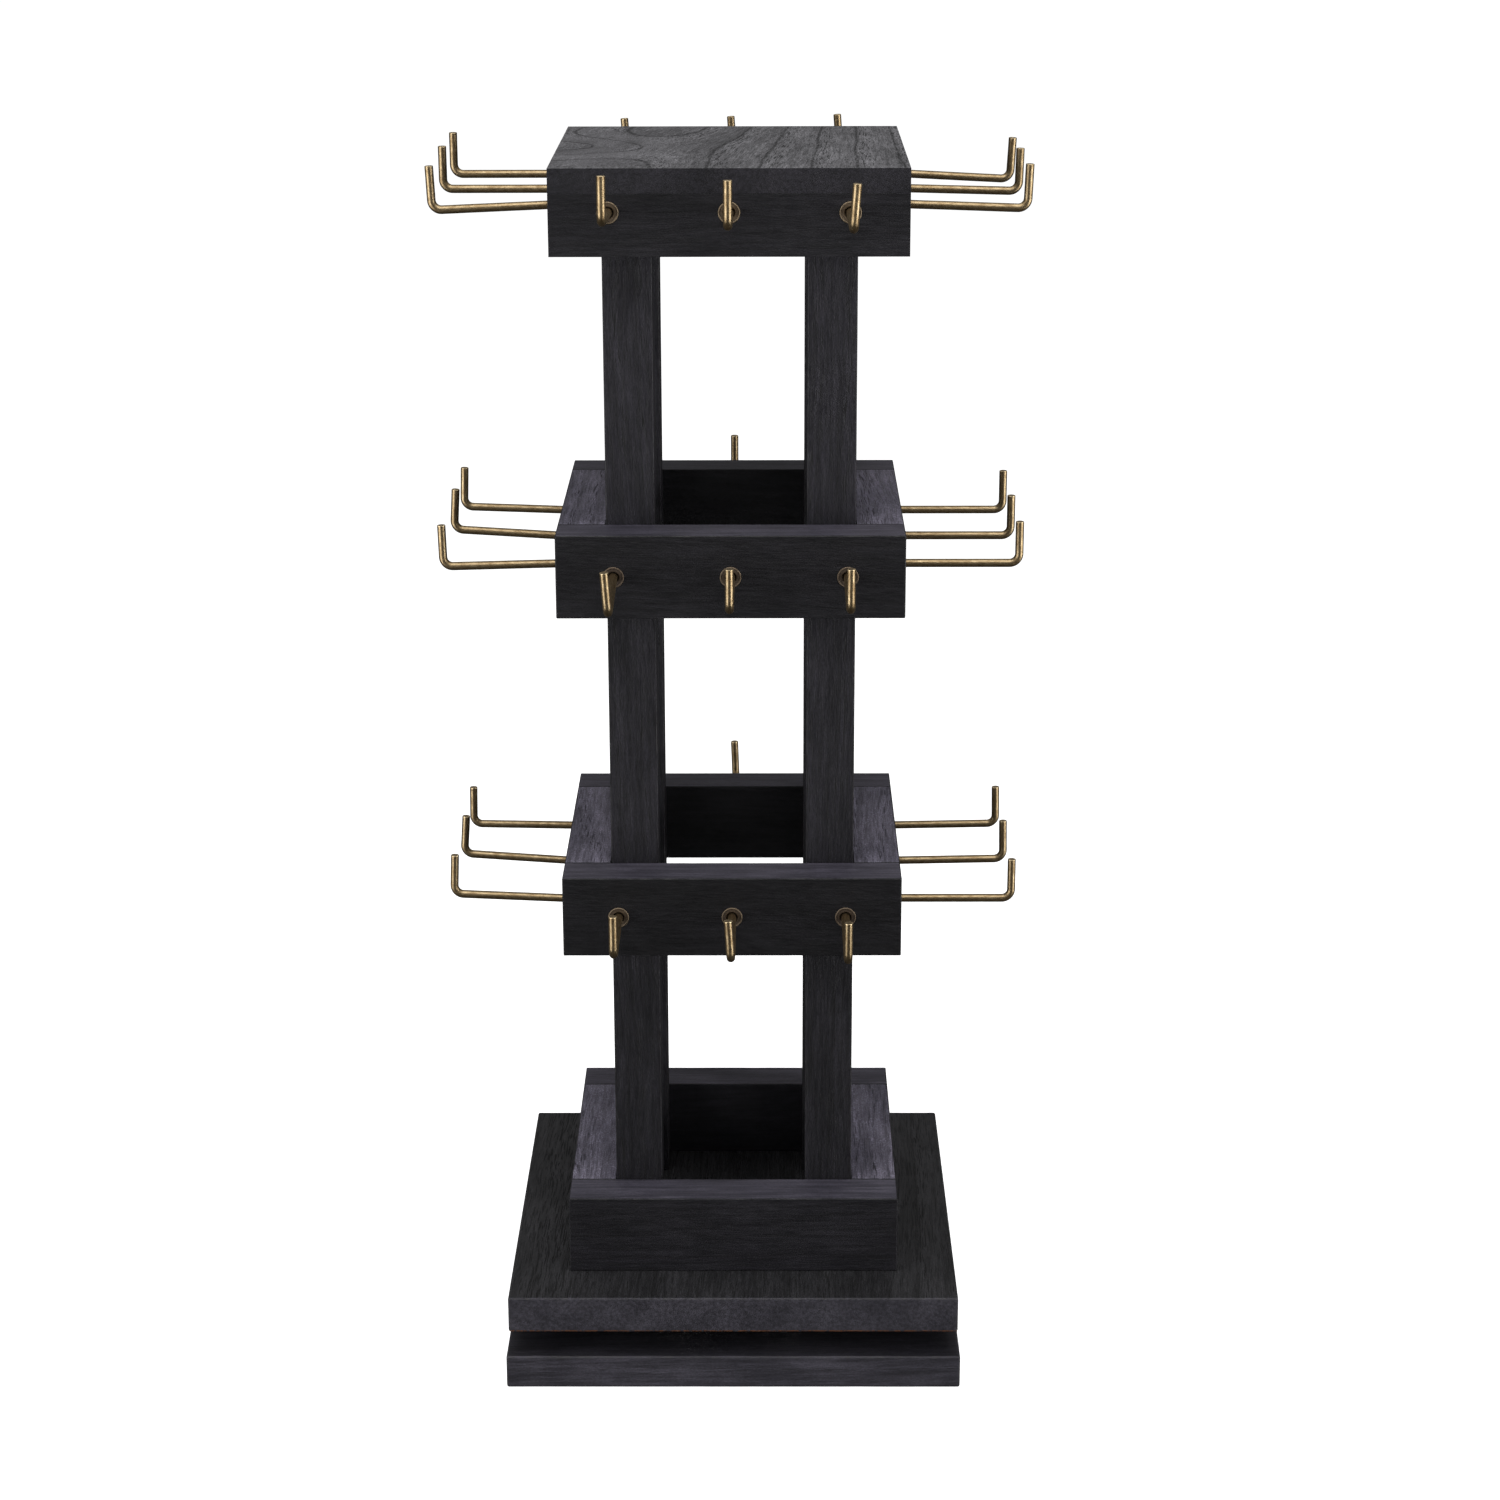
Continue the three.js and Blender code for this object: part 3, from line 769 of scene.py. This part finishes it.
# The insert's profile in millimetres: (radius, height above the wood's face, rubbed edge, painted shade in
# the dimple and the hole).
INSERT_PROFILE = (
    # the barrel's inner end and its side
    (0, -10, 0, 1), (3.1, -10, 0, 0), (3.55, -9.4, 0, 0), (3.55, -0.05, 0, 0),
    # the raised rim
    (3.53, 0.08, 0.5, 0), (3.44, 0.2, 1, 0), (3.28, 0.24, 1, 0), (3.12, 0.2, 0.6, 0),
    # the face
    (3.02, 0.1, 0, 0.25), (2.9, 0.07, 0, 0.1), (2.5, 0.1, 0, 0), (2.15, 0.1, 0.15, 0),
    # the dimple and the hole for the rod, darkened with painted shade
    (2.03, 0.04, 0.2, 0.2), (1.85, -0.3, 0, 0.5), (1.6, -0.7, 0, 1), (1.45, -0.9, 0, 1),
    (1.45, -8, 0, 1), (0, -8, 0, 1),
)


def insert_mesh(name, seed):
    """A threaded insert seen from the wood's face: a raised rubbed rim, a dull face and a dimple darkened
    with painted shade.
    """
    mesh = lathe_mesh(name, [(r * MM, h * MM) for r, h, _, _ in INSERT_PROFILE], INSERT_SIDES)
    tone = random.Random(INSERT_SEED + seed).uniform(*INSERT_TONES)
    grain, wear_and_painted_light = [], []
    for v in mesh.vertices:
        radius = math.hypot(v.co.x, v.co.y) / MM
        height = v.co.z / MM
        nearest = min(INSERT_PROFILE, key=lambda p: math.hypot(p[0] - radius, p[1] - height))
        grain.append(v.co / MM + Vector((BRONZE_SHIFT * seed, 30, 30)))
        wear_and_painted_light.append((nearest[2], nearest[3], tone))
    write_vectors(mesh, "grain", grain)
    write_vectors(mesh, "wear_and_painted_light", wear_and_painted_light)
    smooth(mesh, 50)
    return mesh


def bore_tool(tier):
    """One closed cutter for the bores of a tier's twelve inserts."""
    bm = bmesh.new()
    radius = INSERT_RADIUS + BORE_CLEARANCE
    depth = INSERT_DEPTH + 2 * BORE_SPARE
    for side in SIDES:
        for where in HOOK_PLACES:
            face, _, turn = hook_pose(f"hook_{tier}_{side}_{where}", side)
            inward = turn @ Vector((0, 1, 0))
            centre = face + inward * INSERT_DEPTH / 2
            facing = inward.to_track_quat("Z", "Y").to_matrix().to_4x4()
            bmesh.ops.create_cone(
                bm, cap_ends=True, segments=INSERT_SIDES, radius1=radius, radius2=radius,
                depth=depth, matrix=Matrix.Translation(centre) @ facing,
            )
    return mesh_from(bm, "bores_" + tier)


def add_hooks(tier, first_seed):
    """A tier's twelve hooks, each with its insert."""
    seed = first_seed
    for side in SIDES:
        for where in HOOK_PLACES:
            node = f"hook_{tier}_{side}_{where}"
            face, pose, turn = hook_pose(node, side)
            rod = rod_mesh(node, seed)
            rod.transform(Matrix.Translation(face) @ pose.to_4x4())
            add_piece(node, rod, "aged_bronze", "turntable", node)
            insert = insert_mesh(node.replace("hook", "insert"), seed)
            outward = turn @ Matrix.Rotation(math.pi / 2, 3, "X")
            insert.transform(Matrix.Translation(face) @ outward.to_4x4())
            add_piece(insert.name, insert, "aged_bronze", "turntable")
            seed += 1


def add_tiers():
    """The base frame, and three tiers of four boards with their hooks."""
    low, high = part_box("base_frame")
    add_frame("base_frame", low, high, 10, lambda side: "base_frame", tone=TIER_SHADES["base"])
    for i, tier in enumerate(TIERS):
        low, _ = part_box(f"frame_{tier}_front")
        _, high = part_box(f"frame_{tier}_rear")
        ease = CRISP_EASE if tier == "top" else EASE
        add_frame(f"frame_{tier}", low, high, 30 + 10 * i, lambda side, t=tier: f"frame_{t}_{side}",
                  bore_tool(tier), ease, TIER_SHADES[tier])
        add_hooks(tier, 1 + 12 * i)


# ---------------------------------------------------------------- bearing

PLATE_CORNER = 3 * MM
PLATE_OPENING = 28 * MM
PLATE_BEVEL = 0.15 * MM
SCREW_OFFSET = 42 * MM
SCREW_PLACES = [(x * SCREW_OFFSET, y * SCREW_OFFSET) for x, y in ((-1, -1), (1, -1), (1, 1), (-1, 1))]
SCREW_HOLE = 2.1 * MM
RACE_RADIUS = 38 * MM
BALL_RADIUS = 3 * MM
BALL_COUNT = 12
RACE_WALL = 1.2 * MM
RACE_CLEARANCE = 0.3 * MM
RACE_HEIGHT = 2.7 * MM
CAGE_HALF_WIDTH = 2.7 * MM
CAGE_THICKNESS = 0.8 * MM
CAGE_BEVEL = 0.1 * MM
POCKET_SHARE = 0.86  # of a ball's radius
WELD = 0.001 * MM  # points closer than this are one
ROUND_SIDES = 96  # of a large circle
HOLE_SIDES = 32
POCKET_SIDES = 24
CREST_STEPS = 8


def circle_points(x, y, radius, sides):
    return [(x + radius * math.cos(a), y + radius * math.sin(a)) for a in circle_angles(sides)]


def rounded_square(half, corner, steps=8):
    """The outline of a square with rounded corners."""
    points = []
    for quarter in range(4):
        a = math.pi / 2 * quarter
        centre = Matrix.Rotation(a, 2) @ Vector((half - corner, half - corner))
        for i in range(steps + 1):
            b = a + math.pi / 2 * i / steps
            points.append((centre.x + corner * math.cos(b), centre.y + corner * math.sin(b)))
    return points


def sheet_mesh(name, outlines, thickness, bevel):
    """A flat sheet about z = 0, of the first outline with the others as holes, with slightly rounded
    edges."""
    curve = bpy.data.curves.new(name, "CURVE")
    curve.dimensions = "2D"
    curve.fill_mode = "BOTH"
    curve.extrude = thickness / 2 - bevel
    curve.bevel_depth = bevel
    curve.bevel_resolution = 2
    curve.offset = -bevel
    for outline in outlines:
        spline = curve.splines.new("POLY")
        spline.points.add(len(outline) - 1)
        spline.use_cyclic_u = True
        for point, (x, y) in zip(spline.points, outline):
            point.co = (x, y, 0, 1)
    holder = bpy.data.objects.new(name, curve)
    bpy.context.scene.collection.objects.link(holder)
    bm = bmesh.new()
    bm.from_mesh(evaluated_mesh(holder))
    bpy.data.objects.remove(holder)
    bpy.data.curves.remove(curve)
    bmesh.ops.remove_doubles(bm, verts=bm.verts, dist=WELD)
    bmesh.ops.recalc_face_normals(bm, faces=bm.faces)
    return mesh_from(bm, name)


def ring_wall(radius, wall, low, high):
    """The profile of a round wall with a rolled crest, as closed (radius, height) points."""
    half = wall / 2
    angles = [math.pi * i / CREST_STEPS for i in range(CREST_STEPS + 1)]
    crest = [(radius + half * math.cos(a), high - half + half * math.sin(a)) for a in angles]
    return [(radius - half, low), (radius + half, low)] + crest


def add_turned_ring(bm, profile):
    """Adds a closed ring about +Z with that closed profile."""
    rings = []
    for a in circle_angles(ROUND_SIDES):
        rings.append([bm.verts.new((r * math.cos(a), r * math.sin(a), h)) for r, h in profile])
    for ring, after in zip(rings, rings[1:] + rings[:1]):
        for j in range(len(profile)):
            k = (j + 1) % len(profile)
            bm.faces.new((ring[j], after[j], after[k], ring[k]))


def join_meshes(name, meshes):
    bm = bmesh.new()
    for mesh in meshes:
        bm.from_mesh(mesh)
    bmesh.ops.recalc_face_normals(bm, faces=bm.faces)
    return mesh_from(bm, name)


def plate_mesh(name, half, thickness):
    """A bearing plate lying about z = 0 with its race walls standing up."""
    outlines = [rounded_square(half, PLATE_CORNER), circle_points(0, 0, PLATE_OPENING, ROUND_SIDES)]
    outlines += [circle_points(x, y, SCREW_HOLE, HOLE_SIDES) for x, y in SCREW_PLACES]
    sheet = sheet_mesh(name, outlines, thickness, PLATE_BEVEL)
    walls = bmesh.new()
    reach = BALL_RADIUS + RACE_CLEARANCE + RACE_WALL / 2
    for radius in (RACE_RADIUS - reach, RACE_RADIUS + reach):
        add_turned_ring(walls, ring_wall(radius, RACE_WALL, 0, thickness / 2 + RACE_HEIGHT))
    return join_meshes(name, [sheet, mesh_from(walls, name + "_walls")])


# A screw's profile in millimetres: (radius, height above the plate's face).
SCREW_PROFILE = (
    # the point and the core
    (0, -6.5), (0.35, -6.1), (1.55, -4.6), (1.55, -0.6), (1.75, -0.05),
    # the pan head
    (3.2, 0), (3.45, 0.25), (3.4, 0.75), (3.05, 1.25), (2.3, 1.65), (1.2, 1.85), (0, 1.9),
)
SLOT_LENGTH = 3.4 * MM
SLOT_WIDTH = 0.75 * MM
SLOT_DEPTH = 1.6 * MM
SLOT_HEIGHT = 1.75 * MM  # of a slot's middle above the plate's face
FIRST_TURN = 0.5  # how far the first screw was turned home, in radians
NEXT_TURN = 0.8  # and how much further each next one was


def cross_headed_screw(name):
    screw = lathe_mesh(name, [(r * MM, h * MM) for r, h in SCREW_PROFILE], HOLE_SIDES)
    for length, width in ((SLOT_LENGTH, SLOT_WIDTH), (SLOT_WIDTH, SLOT_LENGTH)):
        bm = bmesh.new()
        size = Matrix.Diagonal((length, width, SLOT_DEPTH, 1))
        bmesh.ops.create_cube(bm, size=1, matrix=Matrix.Translation((0, 0, SLOT_HEIGHT)) @ size)
        screw = cut(screw, name, mesh_from(bm, name + "_slot"))
    return screw


def screws_mesh(name):
    """Four pan-head wood screws on z = 0, at the plate's screw holes, heads up, with cross recesses."""
    screw = cross_headed_screw(name)
    screws = []
    for i, (x, y) in enumerate(SCREW_PLACES):
        turned = Matrix.Rotation(FIRST_TURN + NEXT_TURN * i, 4, "Z")
        screws.append(screw.copy())
        screws[-1].transform(Matrix.Translation((x, y, 0)) @ turned)
    return join_meshes(name, screws)


BALL_PLACES = circle_points(0, 0, RACE_RADIUS, BALL_COUNT)


def balls_mesh(name):
    bm = bmesh.new()
    for x, y in BALL_PLACES:
        place = Matrix.Translation((x, y, 0))
        bmesh.ops.create_icosphere(bm, subdivisions=3, radius=BALL_RADIUS, matrix=place)
    return mesh_from(bm, name)


def cage_mesh(name):
    """The flat ring that spaces the balls, with a round pocket for each."""
    edges = (RACE_RADIUS + CAGE_HALF_WIDTH, RACE_RADIUS - CAGE_HALF_WIDTH)
    outlines = [circle_points(0, 0, radius, ROUND_SIDES) for radius in edges]
    pocket = BALL_RADIUS * POCKET_SHARE
    outlines += [circle_points(x, y, pocket, POCKET_SIDES) for x, y in BALL_PLACES]
    return sheet_mesh(name, outlines, CAGE_THICKNESS, CAGE_BEVEL)


def add_steel(name, mesh, place, body, *replaced, sharp_degrees=30):
    """A piece of the bearing, in its place."""
    mesh.transform(place)
    smooth(mesh, sharp_degrees)
    add_piece(name, mesh, "zinc_plated_steel", body, *replaced)


def at_height(z):
    return Matrix.Translation((0, 0, z))


def add_bearing():
    """The lazy-susan bearing between the two bottom boards: two plates, the caged balls and the
    screws."""
    low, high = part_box("bearing_lower_plate")
    _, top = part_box("bearing_upper_plate")
    thickness = high.z - low.z - RACE_HEIGHT
    centre = at_height((low.z + top.z) / 2)
    flipped = Matrix.Rotation(math.pi, 4, "X")
    add_steel("bearing_lower_plate", plate_mesh("bearing_lower_plate", high.x, thickness),
              at_height(low.z + thickness / 2), "base", "bearing_lower_plate")
    add_steel("bearing_upper_plate", plate_mesh("bearing_upper_plate", high.x, thickness),
              at_height(top.z - thickness / 2) @ flipped, "turntable", "bearing_upper_plate")
    add_steel("bearing_balls", balls_mesh("bearing_balls"), centre, "ball_ring", "bearing_ball_ring",
              sharp_degrees=60)
    add_steel("bearing_cage", cage_mesh("bearing_cage"), centre, "ball_ring")
    add_steel("bearing_lower_screws", screws_mesh("bearing_lower_screws"),
              at_height(low.z + thickness), "base")
    add_steel("bearing_upper_screws", screws_mesh("bearing_upper_screws"),
              at_height(top.z - thickness) @ flipped, "turntable")


# ---------------------------------------------------------------- studio

FLOOR_REACH = 30  # metres from the middle to each edge
FLOOR_GLOW = 0.15  # how much light of its own the floor gives the stand
FLOOR_SEEN_GLOW = 0.8  # the same where the camera sees it
DOME_LOW = 0.06  # how strong the studio's light is round the horizon
DOME_HIGH = 0.35  # and overhead
SOFTBOX_WATTS = 13

# The camera, solved from the corners of the boards in the photograph: metres, millimetres and degrees.
CAMERA_PLACE = (0.01136, -1.0563, 0.5454)
CAMERA_HEADING = 0.294  # from straight back towards -X
CAMERA_PITCH = -17.70
CAMERA_ROLL = -0.135
CAMERA_LENS = 75.45
CAMERA_SENSOR = 36


def add_floor():
    """A plain pale floor. It isn't mirrored in the bronze, as if black cards stood round the stand."""
    bm = bmesh.new()
    bmesh.ops.create_grid(bm, x_segments=1, y_segments=1, size=FLOOR_REACH)
    mesh = mesh_from(bm, "floor")
    floor = bpy.data.objects.new("floor", mesh)
    bpy.context.scene.collection.objects.link(floor)
    material, t, shader = new_material("pale_floor")
    shader.inputs["Base Color"].default_value = grey(0.86)
    shader.inputs["Roughness"].default_value = 0.9
    shader.inputs["Specular IOR Level"].default_value = 0.1
    shader.inputs["Emission Color"].default_value = grey(1.0)
    seen = t.add("ShaderNodeLightPath").outputs["Is Camera Ray"]
    t.give(shader.inputs["Emission Strength"], t.ramp(seen, 0.0, 1.0, FLOOR_GLOW, FLOOR_SEEN_GLOW))
    mesh.materials.append(material)
    floor.visible_glossy = False


def add_world():
    """White behind the stand, and a studio that lights it softly: brighter overhead, and dark round
    the horizon."""
    world = bpy.data.worlds.new("studio")
    bpy.context.scene.world = world
    world.use_nodes = True
    t = Tree(world.node_tree)
    world.node_tree.nodes.clear()
    up = t.parts(t.add("ShaderNodeTexCoord").outputs["Generated"])[2]
    level = t.ramp(up, 0.0, 0.8, DOME_LOW, DOME_HIGH)
    dome = t.add("ShaderNodeBackground", {"Color": grey(1.0), "Strength": level}).outputs[0]
    backdrop = t.add("ShaderNodeBackground", {"Color": grey(1.0), "Strength": 1.0}).outputs[0]
    seen = t.add("ShaderNodeLightPath").outputs["Is Camera Ray"]
    mixed = t.add("ShaderNodeMixShader", {0: seen, 1: dome, 2: backdrop}).outputs[0]
    t.add("ShaderNodeOutputWorld", {"Surface": mixed})


def add_softbox(name, azimuth, elevation, distance, width, height):
    """A soft lamp aimed at the stand's middle, seen from there at that azimuth, from the front towards
    +X, and elevation."""
    lamp = bpy.data.lights.new(name, "AREA")
    lamp.shape = "RECTANGLE"
    lamp.size = width
    lamp.size_y = height
    lamp.energy = SOFTBOX_WATTS
    holder = bpy.data.objects.new(name, lamp)
    a, e = math.radians(azimuth), math.radians(elevation)
    away = Vector((math.sin(a) * math.cos(e), -math.cos(a) * math.cos(e), math.sin(e)))
    holder.location = sum(CAD_BOX, Vector()) / 2 + away * distance
    holder.rotation_mode = "QUATERNION"
    holder.rotation_quaternion = away.to_track_quat("Z", "Y")
    bpy.context.scene.collection.objects.link(holder)


def add_lights():
    add_softbox("top_softbox", azimuth=0, elevation=66, distance=1.3, width=1.2, height=1.0)
    add_softbox("left_softbox", azimuth=-53, elevation=-2, distance=1.2, width=0.75, height=1.0)
    add_softbox("right_softbox", azimuth=61, elevation=-2, distance=1.2, width=0.65, height=1.0)


def add_camera():
    camera = bpy.data.objects.new("camera", bpy.data.cameras.new("camera"))
    camera.data.sensor_width = CAMERA_SENSOR
    camera.data.lens = CAMERA_LENS
    heading = Matrix.Rotation(math.radians(CAMERA_HEADING), 4, "Z")
    pitch = Matrix.Rotation(math.radians(90 + CAMERA_PITCH), 4, "X")
    roll = Matrix.Rotation(math.radians(CAMERA_ROLL), 4, "Z")
    camera.matrix_world = Matrix.Translation(CAMERA_PLACE) @ heading @ pitch @ roll
    bpy.context.scene.collection.objects.link(camera)
    bpy.context.scene.camera = camera


bpy.context.scene.view_settings.view_transform = "Standard"
add_camera()
add_world()
add_lights()
add_floor()
add_whole_boards()
add_posts()
add_tiers()
add_bearing()
